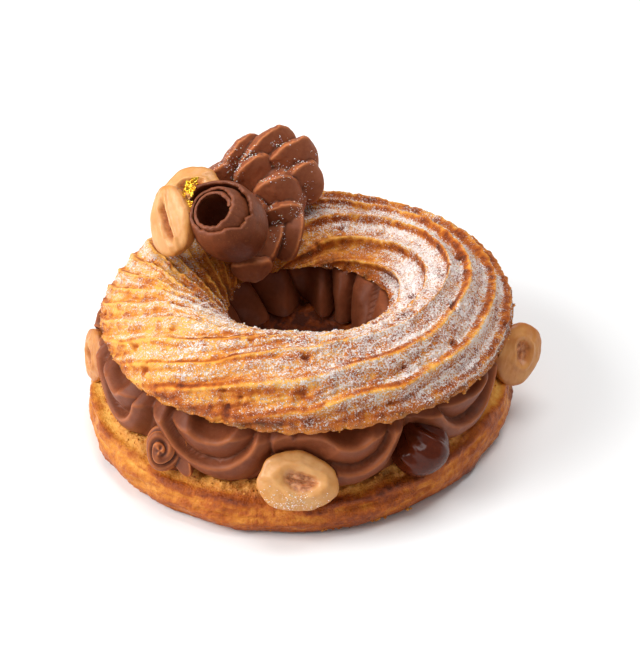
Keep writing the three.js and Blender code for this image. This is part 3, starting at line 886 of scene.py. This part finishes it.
# %% Petals
VIEW_UP = np.array([0, 0.566, 0.824])
TO_VIEWER = np.array([0, -0.824, 0.566])
PETALS = [
    # place, half length, half width, half depth, angle from level, lean
    ((-5.0, 29.2, 37.0), (10.0, 6.0, 5.6), 10, 0.0),
    ((-2.6, 23.4, 35.4), (5.4, 5.2, 4.4), 60, 0.0),
    ((-10.4, 17.6, 34.6), (5.4, 4.8, 4.8), 30, 0.0),
    ((-15.0, 28.4, 37.6), (4.8, 4.2, 4.4), 30, 0.7),
    ((-10.2, 31.4, 41.0), (5.6, 4.4, 4.6), 50, 0.75),
    ((-5.0, 31.2, 41.4), (7.4, 5.2, 5.4), 44, 0.8),
    ((0.0, 29.8, 40.6), (6.0, 4.8, 5.2), 34, 0.8),
    ((-7.6, 27.0, 39.0), (5.0, 4.4, 4.8), 34, 0.8),
    ((1.8, 26.6, 37.4), (5.0, 4.4, 4.6), 36, 0.75),
    ((-3.2, 22.2, 36.6), (5.2, 5.4, 4.8), 22, 0.8),
    ((-2.2, 18.2, 33.8), (4.4, 4.0, 3.8), 14, 0.7),
    ((-1.6, 16.2, 31.2), (5.6, 3.4, 3.4), 74, -0.9),
    ((-5.6, 15.0, 30.0), (5.2, 2.8, 3.4), 66, -0.8),
    ((-9.2, 10.4, 26.8), (4.4, 2.6, 3.0), 8, 0.5),
]
PETAL_ROUNDNESS = 1.18  # 1 is a diamond and 2 a circle


def petal(place, half, angle, lean, rows=36, columns=48):
    """A ball in polar form, with the section pinched and leaned over."""
    angle = math.radians(angle)
    along = np.array([math.cos(angle), 0, 0]) + math.sin(angle) * VIEW_UP
    across = np.cross(TO_VIEWER, along)
    down = np.linspace(0, math.pi, rows + 2)[1:-1, None]
    turn = np.linspace(0, TURN, columns, endpoint=False)[None, :]
    c, s = np.cos(turn), np.sin(turn)
    pinch = 2 / PETAL_ROUNDNESS
    width = np.sign(c) * np.abs(c) ** pinch * np.sin(down)
    depth = np.sign(s) * np.abs(s) ** pinch * np.sin(down)
    length = -np.cos(down) * np.ones_like(turn)
    width = width + lean * depth - 0.35 * (1 - length**2 - 0.6) * lean
    parts = [(length, along, half[0]), (width, across, half[1]), (depth, TO_VIEWER, half[2])]
    body = sum(value[..., None] * axis * size for value, axis, size in parts)
    poles = np.array([-along, along]) * half[0]
    return np.concatenate([body.reshape(-1, 3), poles]) + place, ball_faces(rows, columns)


print(len(PETALS), "petals")

# %% [markdown]
# Soft strokes of cream run together where they touch. A voxel remesh does the
# same to the petals: it keeps only the skin of them all, as one closed mesh. A
# little noise then takes the evenness out of it.

# %% Rosette
def melted(shells, voxel, smoothing):
    """Joins closed shells into one skin by a voxel remesh, and smooths it."""
    points, face_sets = joined(shells)
    mesh = bpy.data.meshes.new("melting")
    mesh.from_pydata(points, [], [face for faces in face_sets for face in faces.tolist()])
    lump = placed("melting", mesh)
    remesh = lump.modifiers.new("remesh", "REMESH")
    remesh.mode, remesh.voxel_size = "VOXEL", voxel
    soften = lump.modifiers.new("soften", "SMOOTH")
    soften.iterations, soften.factor = smoothing, 0.5
    made = lump.evaluated_get(bpy.context.evaluated_depsgraph_get()).to_mesh()
    skin, corners = np.empty(len(made.vertices) * 3), np.empty(len(made.loops), np.int32)
    made.vertices.foreach_get("co", skin)
    made.loops.foreach_get("vertex_index", corners)
    bpy.data.objects.remove(lump)
    bpy.data.meshes.remove(mesh)
    return skin.reshape(-1, 3), corners.reshape(-1, 4)


ROSETTE, faces = melted([petal(*row) for row in PETALS], 0.24, 1)
ROSETTE = ROSETTE + 0.36 * rough(ROSETTE, 2.6, 41, 3)[:, None] * VIEW_UP
make_piece(
    "praline_rosette", ROSETTE, [faces], DUSTED_LIT_CREAM, "cream_rosette", lips=True
)

# %% [markdown]
# ## Bud and drop
# The nozzle left a small swirl of cream at the front left. At the front right
# sits a drop of wet praline, darker and glossy, with the nozzle's ribs drawn
# together at its top. Both are balls in polar form: the bud has a spiral
# groove on its face, the drop has ribs that fade towards the bottom.

# %% Balls and the bud
def frame_of(facing, up=(0, 0, 1)):
    """Three axes at right angles: side, up, and the way the piece faces."""
    facing = np.array(facing) / np.linalg.norm(facing)
    side = np.cross(up, facing)
    side = side / np.linalg.norm(side)
    return np.array([side, np.cross(facing, side), facing])


def ball(rows, columns):
    """Polar angle from the facing pole and turn about it, as open grids."""
    down = np.linspace(0, math.pi, rows + 2)[1:-1, None] * np.ones(columns)
    turn = np.linspace(0, TURN, columns, endpoint=False) * np.ones((rows, 1))
    return down, turn


def close_ball(grid, axes, place):
    """Adds both poles as the mean of their rings, and places the ball."""
    poles = [grid[0].mean(axis=0), grid[-1].mean(axis=0)]
    return np.concatenate([grid.reshape(-1, 3), poles]) @ axes + place


def swirl_bud(place, facing, half, rows=70, columns=110):
    """A ball whose radius dips along a spiral groove on its front."""
    down, turn = ball(rows, columns)
    spiral = (down / 0.62 - turn / TURN) % 1.0
    groove = np.exp(-(((spiral - 0.5) / 0.17) ** 2)) * step(down, 0.12, 0.4) * (1 - step(down, 1.7, 2.2))
    size = 1 - 0.2 * groove + 0.05 * np.sin(3 * turn + 1)
    shape = points_at(np.sin(down) * np.cos(turn), np.sin(down) * np.sin(turn), np.cos(down))
    return close_ball(shape * size[..., None] * half, frame_of(facing), place), ball_faces(rows, columns)


BUD_SHELLS = [
    swirl_bud((-26.2, -32.3, 13.9), (-0.25, -0.85, 0.45), np.array([3.9, 4.6, 3.2])),
    petal((-22.6, -33.4, 13.2), (4.6, 2.0, 2.6), 98, -0.6),
    petal((-25.0, -31.6, 10.6), (4.6, 2.2, 2.8), 165, 0.0),
]
points, faces = melted(BUD_SHELLS, 0.16, 2)
make_piece("praline_bud", points, [faces], PRALINE_CREAM, "cream_bud", lips=True)


# %% Wet drop
def wet_drop(place, axis, radius, height, ribs=9, rows=110, columns=160):
    """A ball drawn out along its axis; its ribs are deepest near the tip."""
    down, turn = ball(rows, columns)
    high = np.cos(down)
    taper = 1 - 0.6 * np.clip(high, 0, 1) ** 1.2 + 0.08 * np.clip(-high, 0, 1)
    depth = 0.22 * step(high, -0.7, 0.5)
    twist = turn + 0.5 * high
    ribbed = 1 - depth * np.abs(np.sin(ribs * twist / 2)) ** 1.5 + 0.05 * np.sin(2 * turn + 0.6)
    wide = radius * np.sin(down) ** 0.85 * taper * ribbed
    shape = points_at(wide * np.cos(turn), wide * np.sin(turn), high * height / 2)
    return close_ball(shape, frame_of(axis, (1, 0, 0)), place), ball_faces(rows, columns)


points, faces = wet_drop((22.4, -33.8, 14.2), (-0.42, 0.35, 0.85), 6.0, 12.4)
make_piece("praline_drop_wet", points, faces, PRALINE_GLAZE, "praline_drop")

# %% [markdown]
# ## Hazelnuts
# Each kernel was blanched, roasted and split. Its flat face is waxy and pale,
# with a sunk, wrinkled slot where the seed leaf lay and a raised ring about
# it. Shreds of brown skin cling to its round side. The mesh carries how deep
# in the slot a point is, how near the round side, and how much skin is on it.

# %% Hazelnut finish
NUT_PATTERNS = [(3.0, 4.0, 0.5), (0.9, 4.0, 0.6), (0.5, 4.0, 0.6), (1.2, 3.0, 0.5)]
SHREDS = {"Scale": 1 / (1.4 * MM), "Detail": 5.0, "Roughness": 0.7}
SLOT_TONES = ((0.3, "#9c5832"), (0.65, "#dc9a68"))
SKIN_BROWN = "#8a3a14"


def hazelnut_finish(name, face, side):
    """Waxy flesh, a darker slot, a browner round side, and shreds of skin,
    which are a noise drawn out along the kernel's height."""
    material, tree, shader, (waxy, wrinkle, grit, gloss) = start_finish(name, NUT_PATTERNS)
    slot, rounded, skin = (
        wire(tree, "Attribute", output="Fac", attribute_name=key) for key in ("slot", "round", "skin")
    )
    where = wire(tree, "TexCoord", output="Object")
    where = wire(tree, "Mapping", {"Vector": where, "Scale": (1, 1, 0.35)})
    shreds = wire(tree, "TexNoise", {**SHREDS, "Vector": where})
    shreds = wire(tree, "MapRange", (shreds, 0.52, 0.62, 0.0, 1.0))
    skin = wire(tree, "Math", (skin, shreds), operation="MULTIPLY")
    shade = wire(tree, "ValToRGB", (waxy,), stops=((0.3, face), (0.75, side)))
    inner = wire(tree, "ValToRGB", (wrinkle,), stops=SLOT_TONES)
    for share, over in ((slot, inner), (rounded, colour(side)), (skin, colour(SKIN_BROWN))):
        shade = wire(tree, "Mix", {0: share, 6: shade, 7: over}, 2, data_type="RGBA")
    height = wire(tree, "Math", (grit, skin), operation="ADD")
    connect(tree, shader, {
        "Base Color": shade, "Roughness": wire(tree, "MapRange", (gloss, 0.3, 0.7, 0.3, 0.5)),
        "Normal": wire(tree, "Bump", {"Height": height, "Distance": 0.12 * MM, "Strength": 0.5}),
        "Subsurface Weight": 0.3, "Subsurface Radius": (1.0, 0.6, 0.3), "Subsurface Scale": 1.5 * MM,
    })
    return material


BLANCHED = hazelnut_finish("blanched_hazelnut", "#dca66a", "#c88640")
ROASTED = hazelnut_finish("roasted_hazelnut", "#d0914f", "#b56a26")

# %% [markdown]
# A half is a ball whose front is pressed nearly flat. How far a point lies from
# the slot's middle, measured in the slot's own length and width, gives the
# sunk floor, the ring about it and the crack between the seed leaves.

# %% Hazelnut halves
def hazelnut_half(half, place, long, face, seed, slot_size, rows=72, columns=120):
    """A ball whose front half is pressed to a flat face, with a sunk slot and a
    ring about it; its outline is an ellipse with slow waves."""
    axes = nut_axes(long, face)
    down, turn = ball(rows, columns)
    outline = 1 + 0.035 * np.sin(2 * turn + seed) + 0.035 * np.sin(3 * turn + 2 * seed)
    outline = outline + 0.015 * np.sin(7 * turn + 3 * seed)
    front = down < math.pi / 2
    apart = np.where(front, (down / (math.pi / 2)) ** 0.85, np.sin(down))
    flat_x, flat_y = apart * np.cos(turn) * outline, apart * np.sin(turn) * outline
    bent = flat_y + 0.12 * np.sin(2.4 * flat_x + seed) - slot_size[3]
    inside = np.hypot((flat_x - slot_size[2]) / slot_size[0], bent / slot_size[1])
    inside = inside + 0.16 * rough(points_at(flat_x * 3, flat_y * 3, -seed), 1.0, 53, 2)
    wave = rough(points_at(flat_x * 3, flat_y * 6, seed), 1.0, 51, 3)
    sunk = 1 - step(inside, 0.55, 1.0)
    ring = np.exp(-(((inside - 1.28) / 0.24) ** 2))
    pressed = 0.16 * (1 - apart**4) + 0.07 * ring - 0.2 * sunk + 0.09 * sunk * wave + 0.018 * wave
    crack = np.exp(-((bent / 0.05) ** 2)) * sunk
    pressed = pressed - 0.12 * crack
    depth = np.where(front, pressed + 0.10 * np.sqrt(np.clip(1 - apart**8, 0, 1)), np.cos(down))
    bumpy = 1 + 0.02 * rough(points_at(flat_x * 4, flat_y * 4, depth), 1.0, 52, 2)
    grid = points_at(flat_x * half[0], flat_y * half[1], depth * half[2]) * bumpy[..., None]
    rim = step(apart, 0.84, 1.0) * front + ~front
    numbers = {"slot": sunk * front, "round": rim * 0.9, "skin": np.where(front, 0.25 * rim, 1.0)}
    values = {}
    for key, value in numbers.items():
        values[key] = np.concatenate([value.ravel(), [value[0].mean(), value[-1].mean()]])
    return close_ball(grid, axes, place), ball_faces(rows, columns), values


for name, (half, place, long, face, seed, slot_size) in NUTS.items():
    finish = ROASTED if name in ("left", "right") else BLANCHED
    points, faces, values = hazelnut_half(half, place, long, face, seed, slot_size)
    if name == "front":
        FRONT_NUT = points
    make_piece(
        f"hazelnut_half_{name}", points, faces, finish, f"hazelnut_{name}", values
    )

# %% [markdown]
# ## Chocolate curl
# A scraper pushed over set chocolate lifts a thin sheet that rolls up. The
# curl is a spiral of nearly two and a half turns, belly in the middle and
# narrower at the ends, with torn edges. It is a grid of wind and width with a
# real thickness: out along one side of the sheet and back along the other.
# The scraper leaves the sheet matt and a little bloomed, with paler specks
# where the nuts' fat has come out.

# %% Chocolate finish
CHOCOLATE_TONES = ((0.3, "#6c361c"), (0.7, "#88492b"))
SPECK = colour("#b0703f")

MILK_CHOCOLATE, tree, shader, (cloud, specks, grit) = start_finish(
    "scraped_milk_chocolate", [(2.5, 5.0, 0.6), (0.5, 3.0, 0.5), (0.6, 4.0, 0.65)]
)
specks = wire(tree, "MapRange", (specks, 0.62, 0.7, 0.0, 0.5))
tone = wire(tree, "ValToRGB", (cloud,), stops=CHOCOLATE_TONES)
height = wire(tree, "Math", (cloud, grit), operation="ADD")
connect(tree, shader, {
    "Base Color": wire(tree, "Mix", {0: specks, 6: tone, 7: SPECK}, 2, data_type="RGBA"),
    "Roughness": wire(tree, "MapRange", (cloud, 0.3, 0.7, 0.38, 0.55)),
    "Normal": wire(tree, "Bump", {"Height": height, "Distance": 0.14 * MM, "Strength": 0.6}),
    "Specular IOR Level": 0.35,
})

# %% Chocolate curl
CURL_PLACE, CURL_AXIS = np.array([-13.5, 7.8, 39.5]), (-0.354, -0.514, 0.781)
CURL_RADIUS, CURL_INNER, CURL_HALF, CURL_TURNS, CURL_SHEET = 8.2, 5.2, 7.5, 2.4, 0.8
CURL_START = math.radians(-62)


def chocolate_curl(rows=300, columns=44):
    """Wind runs from the free edge inwards; the radius shrinks evenly with it,
    and is narrowed at both ends by an ellipse's arc."""
    wind = np.linspace(0, 1, rows)[:, None]
    angle = CURL_START + TURN * CURL_TURNS * wind
    ragged = rough(points_at(wind * 40, 0, 0), 1.0, 61, 4)
    outer_turn = 1 - step(wind, 0.42, 0.56)
    open_side = step(np.cos(angle - math.radians(50)), -0.2, 0.8)
    recess = outer_turn * (0.3 + 2.9 * open_side)
    front = CURL_HALF - recess + ragged * (0.25 + 0.75 * open_side * outer_turn)
    ends = step(wind, 0, 0.03)
    front = front * (0.55 + 0.45 * ends)
    share = np.linspace(-1, 1, columns)[None, :]
    width = -CURL_HALF + (front + CURL_HALF) * (share + 1) / 2
    sides = []
    for inward in (0.0, CURL_SHEET):
        radius = CURL_RADIUS + (CURL_INNER - CURL_RADIUS) * wind
        barrel = np.sqrt(1 - (0.71 * width / CURL_HALF) ** 2)
        flare = 1.4 * np.clip(1 - wind / 0.16, 0, 1) * np.clip(width / CURL_HALF, 0, 1)
        streak = 0.1 * rough(points_at(angle * 8, width * 0.2, 0), 1.0, 62, 2)
        around = (radius - inward) * barrel + flare + streak * (1 if inward else 0.6)
        sides.append(points_at(around * np.cos(angle), around * np.sin(angle), width))
    loop = np.concatenate([sides[0], sides[1][:, ::-1]], axis=1)
    axes = frame_of(CURL_AXIS, VIEW_UP)
    order = np.array([axes[1], axes[0], axes[2]])
    return loop @ order + CURL_PLACE


points = chocolate_curl()
make_piece(
    "chocolate_curl_sheet", points, sheet_faces(*points.shape[:2]), MILK_CHOCOLATE,
    "chocolate_curl",
)

# %% [markdown]
# ## Icing sugar
# Sugar was dusted on last. Most of it is haze in the crust's finish, but its
# grains and clumps stand up and catch the light, so they are real shapes: one
# mesh of small eight-sided grains, thrown where the lid's sugar lies thickest,
# on the rosette, and along the front kernel's lower edge. Sugar is clear
# inside, so light scatters in a heap of it and makes it white and matt.

# %% Icing sugar
SEED = np.random.default_rng(9)
LID_GRAINS, ROSETTE_GRAINS, NUT_GRAINS = 21000, 1500, 260
EIGHT_SIDES = np.array(
    [(0, 1, 4), (1, 2, 4), (2, 3, 4), (3, 0, 4), (1, 0, 5), (2, 1, 5), (3, 2, 5), (0, 3, 5)]
)

ICING_SUGAR, tree, shader, (heaps,) = start_finish("icing_sugar", [(0.6, 2.0, 0.5)])
connect(tree, shader, {
    "Base Color": wire(tree, "ValToRGB", (heaps,), stops=((0.3, "#f3e6de"), (0.7, "#fffaf6"))),
    "Roughness": 0.6, "Subsurface Weight": 0.25, "Subsurface Scale": 0.4 * MM,
})


def grains(places, sizes, squash=0.7):
    """Eight-sided grains: six corners each, moved a little at random."""
    corners = np.array([(1, 0, 0), (0, 1, 0), (-1, 0, 0), (0, -1, 0), (0, 0, squash), (0, 0, -squash)])
    shapes = corners[None] * sizes[:, None, None] * SEED.uniform(0.7, 1.3, (len(places), 6, 3))
    starts = np.arange(len(places))[:, None, None] * 6
    return (places[:, None] + shapes).reshape(-1, 3), (EIGHT_SIDES[None] + starts).reshape(-1, 3)


def thrown(surface, weight, count):
    """Places on a grid's points, picked at random by their weight, then moved
    by up to 0.15 mm sideways."""
    flat, odds = surface.reshape(-1, 3), np.clip(weight.ravel(), 0, None)
    picked = SEED.choice(len(flat), count, p=odds / odds.sum())
    return flat[picked] + SEED.uniform(-0.15, 0.15, (count, 3)) * (1, 1, 0.3)


drift = np.clip(LID_SUGAR - 0.15 + 0.35 * rough(LID_GRID, 1.0, 71, 3), 0, 1) ** 1.4
on_lid = thrown(LID_GRID, drift, LID_GRAINS)
lid_sizes = 0.08 + 0.13 * SEED.random(LID_GRAINS) ** 3
ups = np.clip(ROSETTE[:, 2] - 29, 0, 1) * np.clip(rough(ROSETTE, 3.0, 72, 3) + 0.1, 0, 1) ** 2
on_rosette = thrown(ROSETTE, ups, ROSETTE_GRAINS) + (0, -0.05, 0.05)
nut_local = (FRONT_NUT - np.array(NUTS["front"][1])) @ nut_axes(*NUTS["front"][2:4]).T
low_edge = np.clip(-0.6 - nut_local[:, 1], 0, 4) ** 2 * (nut_local[:, 2] > 0.3)
on_nut = thrown(FRONT_NUT, low_edge, NUT_GRAINS)
other_sizes = 0.07 + 0.13 * SEED.random(ROSETTE_GRAINS + NUT_GRAINS) ** 3
points, faces = grains(
    np.concatenate([on_lid, on_rosette, on_nut]), np.concatenate([lid_sizes, other_sizes])
)
make_piece("icing_sugar_grains", points, [faces], ICING_SUGAR)

# %% [markdown]
# ## Crumbs
# Sawing the ring in two leaves crumbs on the cut, and some dough spreads
# under the crust's foot and sets in small nubs. They are the same eight-sided
# shapes as the sugar's, but larger, in the crust's own finish.

# %% Crumbs
CRUMB_COUNT, NUB_COUNT, NUB_RADIUS = 900, 46, 42.7
outside = np.hypot(BASE_GRID[..., 0], BASE_GRID[..., 1]) > 37
on_cut = thrown(BASE_GRID, BASE_CRUMB * outside, CRUMB_COUNT)
outside = np.hypot(LID_GRID[..., 0], LID_GRID[..., 1]) > 30
on_edge = thrown(LID_GRID, LID_CRUMB * outside, CRUMB_COUNT)
nub_angles = np.radians(SEED.uniform(235, 300, NUB_COUNT))
nubs = polar(nub_angles, NUB_RADIUS, SEED.uniform(0.8, 1.1, NUB_COUNT))
places = np.concatenate([on_cut, on_edge, nubs])
crumb_sizes = 0.1 + 0.3 * SEED.random(2 * CRUMB_COUNT) ** 2
sizes = np.concatenate([crumb_sizes, SEED.uniform(0.3, 0.6, NUB_COUNT)])
points, faces = grains(places, sizes, 0.9)
shade = np.repeat(SEED.uniform(0.1, 0.6, len(places)), 6)
make_piece(
    "choux_crumbs", points, [faces], BAKED_BASE,
    values={"browning_and_painted_light": shade, "crumb": 0.6 * (shade < 0.4)},
)

# %% [markdown]
# ## Gold leaf
# A few torn scraps of gold leaf cling where the nut meets the curl. Leaf is
# thinner than hair, so it creases at every scale: a small grid, bent by noise,
# with just enough thickness to be a closed shape.

# %% Gold leaf
GOLD_LEAF, tree, shader, (cloud, creases) = start_finish(
    "gold_leaf", [(0.5, 3.0, 0.5), (0.35, 4.0, 0.5)]
)
connect(tree, shader, {
    "Base Color": wire(tree, "ValToRGB", (cloud,), stops=((0.3, "#c98a12"), (0.7, "#f0c64a"))),
    "Normal": wire(tree, "Bump", {"Height": creases, "Distance": 0.1 * MM, "Strength": 0.8}),
    "Metallic": 1.0, "Roughness": 0.28,
})


def scrap(place, size, facing, seed, steps=22):
    """A square sheet, bent along its normal, with its edge torn by noise."""
    u, v = np.meshgrid(np.linspace(-1, 1, steps), np.linspace(-1, 1, steps), indexing="ij")
    torn = 1 + 0.3 * rough(points_at(u, v, seed), 0.6, 81, 2)
    bend = 0.35 * size * rough(points_at(u, v, seed), 0.8, 82, 3)
    sides = [points_at(u * torn * size, v * torn * size * 0.7, bend + t) for t in (0.04, -0.04)]
    loop = np.concatenate([sides[0], sides[1][:, ::-1]], axis=1)
    return (loop @ frame_of(facing) + place).reshape(-1, 3), sheet_faces(steps, 2 * steps)


SCRAPS = [
    ((-20.9, 9.6, 46.9), 1.5, (-0.6, -0.5, 0.6), 1), ((-21.6, 7.2, 44.6), 1.3, (-0.3, -0.8, 0.5), 2),
    ((-20.2, 11.4, 47.4), 1.0, (0.2, -0.6, 0.8), 3), ((-22.2, 8.9, 45.9), 0.9, (-0.8, -0.3, 0.5), 4),
]
points, face_sets = joined([scrap(*row) for row in SCRAPS])
make_piece("gold_leaf_scraps", points, face_sets, GOLD_LEAF)

# %% [markdown]
# ## Floor, light and camera
# The floor is matt white paper. A soft box at the left, a little in front, is
# the window that draws the flutes, and a larger one above fills the hollows. It
# is plain light; the crust's and the cream's colours also carry painted light
# and shade. The camera looks down at 34.5 degrees, from far off with a long
# lens, so that the ring keeps its shape, and is turned a little about its own axis.

# %% Floor
FLOOR_HALF = 3.0
floor_mesh = bpy.data.meshes.new("floor")
floor_corners = np.array([(-1, -1, 0), (1, -1, 0), (1, 1, 0), (-1, 1, 0)]) * FLOOR_HALF
floor_mesh.from_pydata(floor_corners, [], [(0, 1, 2, 3)])
WHITE_PAPER, tree, shader, _ = start_finish("white_paper", [])
connect(tree, shader, {"Base Color": colour("#f4f4f4"), "Roughness": 0.9})
floor_mesh.materials.append(WHITE_PAPER)
placed("floor", floor_mesh)
print("floor, m:", 2 * FLOOR_HALF, "across")

# %% Camera
ELEVATION, ROLL = math.radians(34.5), -0.031
TARGET = AXIS / MM + np.array([2.4, 0.37, 20.0])
DISTANCE = 380.0
back = np.array([0, -math.cos(ELEVATION), math.sin(ELEVATION)])
lens = bpy.data.cameras.new("camera")
lens.sensor_width, lens.lens = 36, 100.04
lens.shift_x, lens.shift_y = 0.0159, -0.0178
lens.clip_start, lens.clip_end = 0.01, 10
camera = placed("camera", lens)
camera.location = Vector((TARGET + back * DISTANCE) * MM)
camera.rotation_mode = "QUATERNION"
level = Vector(-back).to_track_quat("-Z", "Y")
camera.rotation_quaternion = level @ Quaternion((0, 0, 1), ROLL)
bpy.context.scene.camera = camera
print("camera at, mm:", (TARGET + back * DISTANCE).round(1))


# %% Light
def soft_box(name, place, size, power):
    """A square area light that looks at the pastry's middle."""
    light = bpy.data.lights.new(name, "AREA")
    light.shape, light.size, light.energy = "SQUARE", size, power
    lamp = placed(name, light)
    lamp.location = place
    lamp.rotation_mode = "QUATERNION"
    lamp.rotation_quaternion = (Vector((0, 0, 0.02)) - Vector(place)).to_track_quat("-Z", "Y")


soft_box("window_left", (-0.56, -0.14, 0.42), 0.5, 5.4)
soft_box("ceiling", (0.14, 0.14, 0.85), 0.6, 5.2)
world = bpy.data.worlds.new("studio")
world.use_nodes = True
connect(world.node_tree, world.node_tree.nodes["Background"], {"Color": (1, 1, 1, 1), "Strength": 0.35})
bpy.context.scene.world = world
bpy.context.scene.view_settings.view_transform = "Standard"
print("lights:", [light.name for light in bpy.data.lights])
